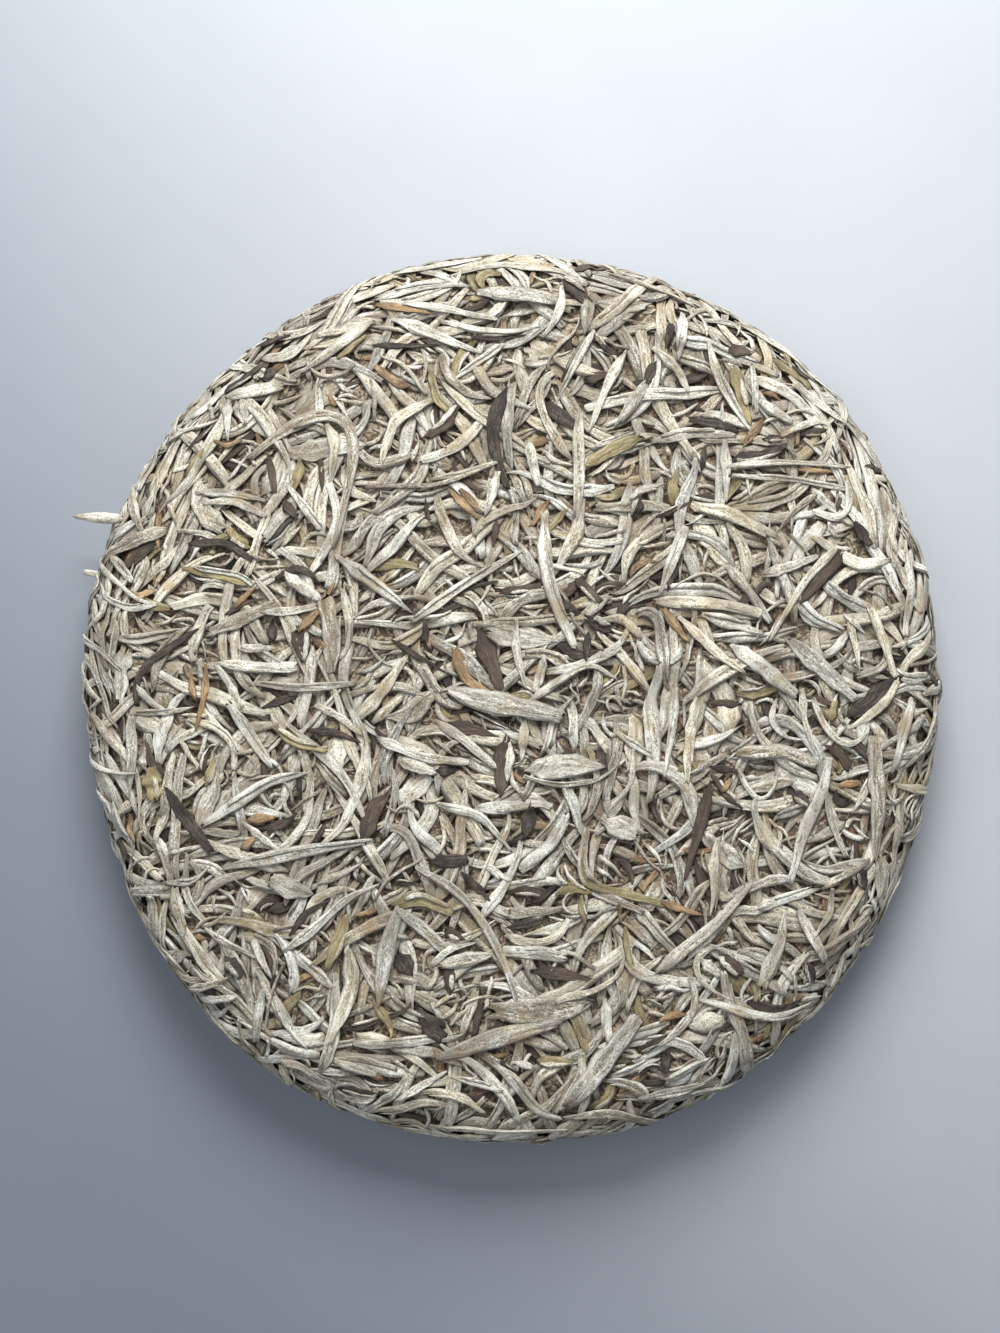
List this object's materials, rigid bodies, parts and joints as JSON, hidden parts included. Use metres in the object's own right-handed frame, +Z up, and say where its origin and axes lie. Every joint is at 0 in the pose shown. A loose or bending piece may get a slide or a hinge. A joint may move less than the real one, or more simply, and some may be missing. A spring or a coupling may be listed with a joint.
{
  "type": "pressed tea cake",
  "caption": "Round pressed cake of dried tea buds, a low disc with a rounded rim and flat underside, broken into pieces for steeping.",
  "frame": {"origin": "middle of the underside of the cake's box", "axes": "+Z up through the face that shows in the picture, -X towards the bud that sticks out"},
  "size_m": [0.1952, 0.2012, 0.0266],
  "materials": {
    "tea_buds": "matt, downy"
  },
  "bodies": {
    "root": {"tea_cake": "tea_buds"}
  },
  "joints": []
}
